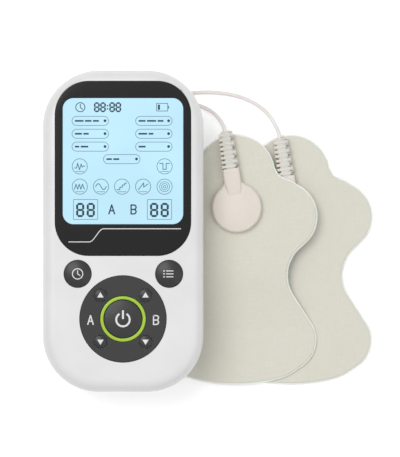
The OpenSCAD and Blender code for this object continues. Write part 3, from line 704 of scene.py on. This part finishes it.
def shoulders(name, place, base):
    """The web on both sides of the neck, where it runs into the round head."""
    stations = [  # along the neck: place, half width
        (6.6, 4.4), (8.0, 4.75), (8.3, 4.51), (8.6, 4.08), (9.0, 3.7), (9.5, 3.41), (10.0, 3.25), (10.8, 3.16),
    ]
    rings = [section(place, y, half, 0.12, 2.62 + 0.05 * (y - 6), 0.9, 0.5) for y, half in stations]
    piece = finish_piece(name, skin(name, rings), OVERMOULD, base)
    sharp_by_angle(piece, 60)
    return piece


def boot(name, place, base, replaced):
    """Strain relief: a slim core with staggered blocks on both sides, one row over the other."""
    points, faces = [], []
    corner = 3
    around = 4 * (corner + 1)

    def block(x0, x1, y0, y1, z0, z1, e=0.22):
        """Box with chamfered edges."""
        first = len(points)
        for h, inset in ((z0, e), (z0 + e, 0), (z1 - e, 0), (z1, e)):
            w, l = x1 - x0 - 2 * inset, y1 - y0 - 2 * inset
            points.extend(place(x, y, h) for x, y in rounded_loop((x0 + x1) / 2, (y0 + y1) / 2, w, l, 0.3, corner))
        for i in range(3):
            for k in range(around):
                a, b = first + i * around + k, first + i * around + (k + 1) % around
                faces.append((a, b, b + around, a + around))
        faces.append(tuple(first + k for k in reversed(range(around))))
        faces.append(tuple(first + 3 * around + k for k in range(around)))

    mid, half_t = HEAD_T / 2, 1.6
    block(-1.75, 1.75, SHOULDER - 0.3, BOOT_END - 0.1, mid - half_t + 0.25, mid + half_t - 0.25, 0.4)
    pitch, rib, blocks = 1.7, 1.12, 8
    for i in range(blocks):
        odd = i % 2
        y0 = SHOULDER + 0.35 + i * pitch
        half = 3.2 - 0.6 * (y0 - SHOULDER) / BOOT_LENGTH
        top = mid + half_t - 0.05 * odd
        block(-half - 0.02, half - 0.95 + 0.75 * odd, y0, y0 + rib, mid - half_t, top)
        block(half - 1.5, half + 0.02 - 0.95 * (1 - odd), y0, y0 + rib, mid - half_t + 0.05, top - 0.08)
        block(-1.2, half, y0 + rib * 0.85, y0 + pitch, mid - half_t + 0.3, mid + half_t - 0.3, 0.15)
    return finish_piece(name, mesh_from(name, points, faces), OVERMOULD, base, replaced, smooth=False)


for side, place in (("front", front_place), ("rear", rear_place)):
    head = connector_head(f"{side}_head", place, "lead", (f"{side}_connector_shell",))
    spine = neck(f"{side}_neck", place, "lead")
    web = shoulders(f"{side}_web", place, "lead")
    ribs = boot(f"{side}_boot", place, "lead", (f"{side}_connector_boot",))


def strap():
    """The band round the hank: a soft strap with rounded edges."""
    x0, x1, z0, z1 = 11.15, 26.75, 0.1, 5.55
    mid_x, mid_z, w, h = (x0 + x1) / 2, (z0 + z1) / 2, x1 - x0, z1 - z0
    stations = [  # across the band: place, and how far it stands out
        (20.4, -0.12), (20.55, 0.05), (20.9, 0.14), (22.2, 0.16), (23.5, 0.14), (23.85, 0.05), (24.0, -0.12),
    ]
    rings = []
    for y, out in stations:
        loop = rounded_loop(mid_x, mid_z, w + 2 * out, h + 2 * out * 0.6, 1.3, 8)
        rings.append([(x, y, z) for x, z in loop])
    inside = rounded_loop(mid_x, mid_z, w - 0.5, h - 0.4, 1.1, 8)
    rings += [[(x, y, z) for x, z in inside] for y in (23.9, 20.5)]
    rings.append(rings[0])
    return skin("tie_band", rings, False, False)


tie = finish_piece("tie_band", strap(), PRINT, "lead", ("hank_tie",))


def yoke_shell():
    """Small moulded Y-piece, waisted to a nose at the cable's side."""
    stations = [  # along the yoke: place, width, height
        (6.0, 2.6, 2.6), (6.15, 3.0, 2.9), (7.2, 3.3, 3.0), (8.6, 4.2, 3.3), (10, 5.2, 3.55),
        (12, 5.6, 3.6), (16.6, 5.6, 3.6), (17.6, 5.3, 3.4), (17.95, 4.7, 2.9), (18.0, 4.2, 2.5),
    ]
    rings = [[(x, y, z) for y, z in rounded_loop(50, 1.8, w, t, min(w, t) * 0.36, 6)] for x, w, t in stations]
    return skin("yoke_shell", rings)


yoke_piece = finish_piece("yoke_shell", yoke_shell(), OVERMOULD, "lead", ("yoke",))
sharp_by_angle(yoke_piece, 50)


def declare_cord(points):
    """Works out the first point in metres and the length through the points; neither is kept."""
    [v * MM for v in points[0]]
    round(measure(points) * MM, 3)


declare_cord(main_run)
declare_cord(front_run)
declare_cord(rear_run)


# ---------- electrode pads ----------

def pad_half(d):
    """Right half of a pad's outline, from its lower end to its upper end, drawn in by d."""
    half = arc(0, 8.1, 66 - d, -90, -77.5, 12)
    half += [(17.9 - 0.35 * d, -55.35 + 0.92 * d), (20.6 - 0.5 * d, -54.15 + 0.8 * d)]
    half += arc(18.5, -41, 12.1 - d, -60, 27, 20)
    half += arc(33.5, -16.7, 13.8 + d, 209, 129, 20)
    half += arc(17.5, 5.5, 13.4 - d, -44, 62, 22)
    half += [
        (20.9 - 0.45 * d, 19.2 - 0.88 * d), (18.2 - 0.5 * d, 20.1 - 0.8 * d), (16.2 - 0.8 * d, 21.3 - 0.5 * d),
    ]
    half += arc(0, 21.6, 14.9 - d, 10, 90, 20)
    half[0], half[-1] = (0.0, half[0][1]), (0.0, half[-1][1])
    return half


LOW_Z = high_of("rear_pad_fabric").z + 0.1
HIGH_Z = high_of("front_pad_fabric").z - 1.4
BEND_Y0, BEND_Y1 = -38, -10


def front_height(y):
    """Underside of the front pad: level on the connector and hank, then down onto the rear pad."""
    return LOW_Z + (HIGH_Z - LOW_Z) * eased((y - BEND_Y0) / (BEND_Y1 - BEND_Y0))


def flat_height(y):
    """Underside of the rear pad, which lies on the table."""
    return 0.0


def pad_layer(name, x, height, levels, across=22):
    """A layer that follows the pad's bend. levels are (drawn in by, height over the underside), from below up."""
    outlines = [pad_half(d) for d, _ in levels]
    rows = len(outlines[0])
    count = 2 * rows - 2
    points, faces, loops = [], [], []
    for half, (_, z) in zip(outlines, levels):
        loop = half + [(-px, py) for px, py in reversed(half[1:-1])]
        loops.append(len(points))
        points += [(x + px, py, height(py) + z) for px, py in loop]
    for lower, upper in zip(loops, loops[1:]):
        for k in range(count):
            n = (k + 1) % count
            faces.append((lower + k, lower + n, upper + n, upper + k))
    ends = ((loops[0], outlines[0], levels[0], False), (loops[-1], outlines[-1], levels[-1], True))
    for at, half, (_, z), up in ends:
        grid = []
        for i, (px, py) in enumerate(half):
            if i in (0, rows - 1):
                grid.append([at + i] * (across + 1))
                continue
            row = [at + count - i]
            for c in range(1, across):
                row.append(len(points))
                points.append((x - px + 2 * px * c / across, py, height(py) + z))
            grid.append(row + [at + i])
        for near, far in zip(grid, grid[1:]):
            for c in range(across):
                face = [near[c], near[c + 1], far[c + 1], far[c]]
                face = [v for n, v in enumerate(face) if v not in face[:n]]
                if len(face) > 2:
                    faces.append(tuple(face if up else reversed(face)))
    return mesh_from(name, points, faces)


GEL_LEVELS = [(0.12, 0.1), (0.0, 0.22), (0.0, 0.62), (0.08, 0.82), (0.3, 0.9)]
CLOTH_LEVELS = [(0.6, 0.9), (0.58, 1.12), (0.64, 1.28), (0.78, 1.37), (1.05, 1.4)]
for side, height in (("front", front_height), ("rear", flat_height)):
    body = f"{side}_pad"
    x = middle(f"{side}_pad_gel").x
    gel = finish_piece(
        f"{side}_gel", pad_layer(f"{side}_gel", x, height, GEL_LEVELS), GEL, body, (f"{side}_pad_gel",))
    cloth = finish_piece(
        f"{side}_cloth", pad_layer(f"{side}_cloth", x, height, CLOTH_LEVELS), CLOTH, body,
        (f"{side}_pad_fabric",))


# ---------- display ----------

WINDOW = (0, 26.1, 44.9, 47.0, 4.0)  # middle, width, height and corner radius
LENS_TOP = high_of("screen_lens").z - 0.02
LCD_Z = LENS_TOP - 0.16


def lens_mesh():
    """Dark plate with soft edges and a shallow window."""
    bottom = low_of("screen_lens").z
    edge = [
        (0.0, bottom), (0.0, LENS_TOP - 0.4), (0.04, LENS_TOP - 0.22), (0.14, LENS_TOP - 0.07), (0.32, LENS_TOP),
    ]
    cx, cy, w, h, r = lens_mid.x, lens_mid.y, lens_size.x, lens_size.y, 12.5
    rings = []
    for inset, z in edge:
        rings.append([(x, y, z) for x, y in rounded_loop(cx, cy, w - 2 * inset, h - 2 * inset, r - inset, 16)])
    cx, cy, w, h, r = WINDOW
    for grow, z in ((0.08, LENS_TOP), (0.02, LENS_TOP - 0.03), (0.0, LCD_Z - 0.3)):
        rings.append([(x, y, z) for x, y in rounded_loop(cx, cy, w + 2 * grow, h + 2 * grow, r + grow, 16)])
    return skin("display_bezel", rings, True, False)


bezel = finish_piece("display_bezel", lens_mesh(), LENS, "controller", ("screen_lens",))
sharp_by_angle(bezel, 45)


def lcd_mesh():
    """The lit plate in the window."""
    cx, cy, w, h, r = WINDOW
    rings = [
        [(x, y, z) for x, y in rounded_loop(cx, cy, w - 2 * i, h - 2 * i, r - i, 16)]
        for i, z in ((0.02, LCD_Z - 0.35), (0.02, LCD_Z - 0.02), (0.06, LCD_Z))
    ]
    return skin("lcd_window", rings)


lcd = finish_piece("lcd_window", lcd_mesh(), LCD, "controller")
sharp_by_angle(lcd, 30)

bold = Marks(lambda x, y: LCD_Z + 0.02)
fine = Marks(lambda x, y: LCD_Z + 0.015)

# clock, hours and charge
TOP_Y = 46.2
bold.ring(-15.9, TOP_Y, 1.55, 1.85)
bold.stroke([(-15.9, 47.4), (-15.9, 46.1), (-15.0, 45.4)], 0.28)
for x in (-9.75, -7.45, -4.05, -1.75):
    bold.digit_eight(x, TOP_Y, 3.1, 0.6)
for y in (45.6, 46.8):
    bold.bar(-5.75, y, 0.5, 0.5)
fine.frame(14.6, TOP_Y, 4.4, 3.1, 0.2, 0.26)
fine.bar(17.0, TOP_Y, 0.35, 1.0)
bold.bar(13.4, TOP_Y, 0.75, 1.9)

# rows of choices: an outline, dashes in place of a word, and a dot
PILL_W, PILL_H = 13.8, 3.6
PILL_ROWS = (41.1, 36.3, 31.5)
PILL_COLUMNS = {  # place of the column, and the dashes in each of its rows
    -12.2: ((3.2, 2.4, 2.2), (2.6, 2.0), (1.6, 2.8)),
    11.5: ((2.6, 3.4, 2.2), (3.2, 1.8), (2.6,)),
}


def pill(x, y, dashes):
    """One choice on the display."""
    fine.frame(x, y, PILL_W, PILL_H, 1.79, 0.2)
    bold.disc(x + 5.5, y + 0.05, 0.52)
    at = x - 5.7
    for w in dashes:
        bold.bar(at + w / 2, y, w, 0.62)
        at += w + 0.55


for x, column in PILL_COLUMNS.items():
    for y, dashes in zip(PILL_ROWS, column):
        pill(x, y, dashes)
pill(-0.45, 26.85, (2.0, 2.2))

# seven round symbols, each a different pulse shape
CIRCLE_R = 2.94
spots = [(-16.1, 24.15), (15.5, 24.15), (-16.1, 16.6), (-8.2, 16.6), (-0.35, 16.6), (7.5, 16.6), (15.5, 16.6)]
for x, y in spots:
    fine.ring(x, y, CIRCLE_R - 0.22, CIRCLE_R, steps=48)
waves = [
    [(-2, -0.6), (-1.2, -0.6), (-0.8, 1.2), (-0.1, -1.3), (0.5, 0.9), (0.9, -0.3), (1.3, 0.1), (2, 0.1)],
    [(-1.9, 1.1), (-0.6, 1.1), (-0.6, -1.1), (0.6, -1.1), (0.6, 1.1), (1.9, 1.1)],
    [(-2, -1), (-1.4, 0.9), (-0.8, -1), (-0.2, 0.9), (0.4, -1), (1.0, 0.9), (1.7, -1)],
    [(-2, 0)] + [(-2 + 4 * i / 16, 1.1 * math.sin(2 * math.pi * i / 16)) for i in range(1, 17)],
    [(-1.9, -1.1), (-0.8, -1.1), (-0.8, -0.2), (0.1, -0.2), (0.1, 0.6), (1.0, 0.6), (1.0, 1.3), (1.7, 1.3)],
    [(-1.8, -1.2), (0.2, 1.4), (0.2, -0.2), (1.8, 1.0)],
]
for (x, y), wave in zip(spots[:6], waves):
    fine.stroke([(x + u, y + v) for u, v in wave], 0.32)
    fine.stroke([(x + u, y + v) for u, v in ((-1.5, -1.9), (1.5, -1.9))], 0.2)
for r in (0.55, 1.25, 1.95):
    fine.ring(spots[6][0], spots[6][1], r - 0.2, r, steps=32)

# strength of each channel
CHANNEL_Y = 8.1
for x in (-13.95, 13.6):
    fine.frame(x, CHANNEL_Y, 9.25, 7.6, 0.25, 0.2)
    for dx in (-2.0, 1.95):
        bold.digit_eight(x + dx, CHANNEL_Y - 0.2, 4.5, 0.8)
bold.letter_a(-4.2, CHANNEL_Y, 3.4, 0.5)
bold.letter_b(3.95, CHANNEL_Y, 3.3, 0.5)
bold.piece("lcd_marks_bold", INK, "controller", "lcd")
fine.piece("lcd_marks_fine", INK_SOFT, "controller", "lcd")

# plain printed line under the window
printed = Marks(lambda x, y: LENS_TOP + 0.012)
swing = [(-20.2, -4.0), (-12.5, -4.0)]
swing += [(-12.5 + 5.2 * t, -4.0 + 4.9 * eased(t)) for t in (0.1 * i for i in range(1, 11))]
swing += [(21.5, 0.9)]
printed.stroke(swing, 0.3)
printed.piece("bezel_line", PRINT, "controller", "lens_black")


# ---------- keypad ----------

KEY_SYMBOLS = {
    "power_key": "power", "left_key": "clock", "right_key": "list",
    "a_up_key": "up", "a_down_key": "down", "b_up_key": "up", "b_down_key": "down",
}
ARROWS = [node for node, symbol in KEY_SYMBOLS.items() if symbol in ("up", "down")]
ARROW_SHAPE = (2.45, 0.5)  # radius and height of the dome
KEY_SHAPES = {"power_key": (7.1, 0.5), "left_key": (5.1, 0.9), "right_key": (5.1, 0.9)}
ARROW_HOLE_R = 2.58
RING_R0, RING_R1, RING_SLOT = 7.25, 8.5, 8.6  # the lit ring's radii, and the disc's round opening for it


def cut_holes(piece, spots, r, z0, z1):
    """Cuts round holes through a piece and keeps the result."""
    for i, (x, y) in enumerate(spots):
        plug = lathe("cutter", [(0.001, z0), (r, z0), (r, z1), (0.001, z1)], (x, y), 64)
        plug.transform(Matrix.Scale(MM, 4))
        cutter = bpy.data.objects.new(f"cutter_{i}", plug)
        bpy.context.scene.collection.objects.link(cutter)
        modifier = piece.modifiers.new("hole", "BOOLEAN")
        modifier.operation, modifier.solver, modifier.object = "DIFFERENCE", "EXACT", cutter
        graph = bpy.context.evaluated_depsgraph_get()
        done = bpy.data.meshes.new_from_object(piece.evaluated_get(graph))
        piece.modifiers.clear()
        old = piece.data
        piece.data = done
        bpy.data.meshes.remove(old)
        bpy.data.objects.remove(cutter)


DISC_R = (high_of("control_disc").x - low_of("control_disc").x) / 2
disc_low = low_of("control_disc").z
profile = [(RING_SLOT, disc_low), (DISC_R, disc_low)]
profile += arc(DISC_R - 0.35, disc_top - 0.35, 0.35, 0, 90, 6)
profile += [(12, disc_top - 0.02), (9.1, disc_top - 0.03)]
profile += arc(RING_SLOT + 0.25, disc_top - 0.28, 0.25, 90, 180, 4) + [(RING_SLOT, disc_low)]
disc = finish_piece(
    "keypad_disc", lathe("keypad_disc", profile, (disc_mid.x, disc_mid.y), 160), GREY, "controller",
    ("control_disc",))
cut_holes(disc, [middle(node)[:2] for node in ARROWS], ARROW_HOLE_R, disc_top - 3, disc_top + 1)
disc.data.shade_smooth()
sharp_by_angle(disc, 35)

ring_low, ring_top = low_of("light_ring").z + 0.4, high_of("light_ring").z
profile = [(RING_R0, ring_low), (RING_R1, ring_low)] + arc(RING_R1 - 0.3, ring_top - 0.32, 0.3, 0, 90, 5)
profile += arc(RING_R0 + 0.3, ring_top - 0.32, 0.3, 90, 180, 5) + [(RING_R0, ring_low)]
finish_piece(
    "glow_ring", lathe("glow_ring", profile, (disc_mid.x, disc_mid.y), 160), GREEN, "controller",
    ("light_ring",))


def domed_key(node):
    """Turned key with a rounded rim under a shallow dome. Returns its middle, and the dome's height anywhere."""
    m, top = middle(node), high_of(node).z
    r, sag = KEY_SHAPES.get(node, ARROW_SHAPE)
    dome = (r * r + sag * sag) / (2 * sag)
    e = min(0.28, r * 0.1)
    profile = [(0.001, top - 3.2), (r, top - 3.2), (r, top - sag - e)]
    reach = r - e * 0.8
    rim = top - dome + math.sqrt(dome * dome - reach * reach)
    profile += [(r - e * 0.06, (top - sag - e) * 0.45 + rim * 0.55), (r - e * 0.32, rim - e * 0.16)]
    for i in range(15):
        rr = reach * (1 - i / 14)
        profile.append((max(rr, 0.001), top - dome + math.sqrt(dome * dome - rr * rr)))
    name = node.replace("_key", "_button")
    piece = finish_piece(name, lathe(name, profile, (m.x, m.y), 96), KEY, node, (node,))
    sharp_by_angle(piece, 60)
    return m, lambda x, y: top - dome + math.sqrt(max(dome * dome - (x - m.x) ** 2 - (y - m.y) ** 2, 0)) + 0.02


def key_mark(node, m, lift, symbol):
    """The printed symbol on a key."""
    mark = Marks(lift)
    if symbol == "power":
        mark.ring(m.x, m.y - 0.25, 2.15, 2.85, 122, 418, 48)
        mark.stroke([(m.x, m.y + 0.2 + 0.4 * i) for i in range(8)], 0.72)
    elif symbol in ("up", "down"):
        s = 1 if symbol == "up" else -1
        mark.poly([(m.x - 1.2, m.y - 0.8 * s), (m.x + 1.2, m.y - 0.8 * s), (m.x, m.y + 1.15 * s)])
    elif symbol == "clock":
        mark.ring(m.x, m.y, 1.75, 2.1, steps=40)
        hands = ((0, 1.2), (0, 0.6), (0, 0), (0.45, -0.3), (0.9, -0.6))
        mark.stroke([(m.x + u, m.y + v) for u, v in hands], 0.34)
    elif symbol == "list":
        for level in (-1.1, 0, 1.1):
            mark.stroke([(m.x - 1.0 + 0.5 * i, m.y + level) for i in range(6)], 0.36)
            mark.disc(m.x - 1.9, m.y + level, 0.28)
    mark.piece(f"{node}_mark", PRINT, node, "lens_black", symbol in ("up", "down"))


for node, symbol in KEY_SYMBOLS.items():
    m, lift = domed_key(node)
    key_mark(node, m, lift, symbol)

letters = Marks(lambda x, y: disc_top + 0.01)
letters.letter_a(-12.1, -33.1, 3.3, 0.46)
letters.letter_b(12.3, -33.1, 3.3, 0.46)
letters.piece("keypad_letters", PRINT, "controller", "disc_grey")
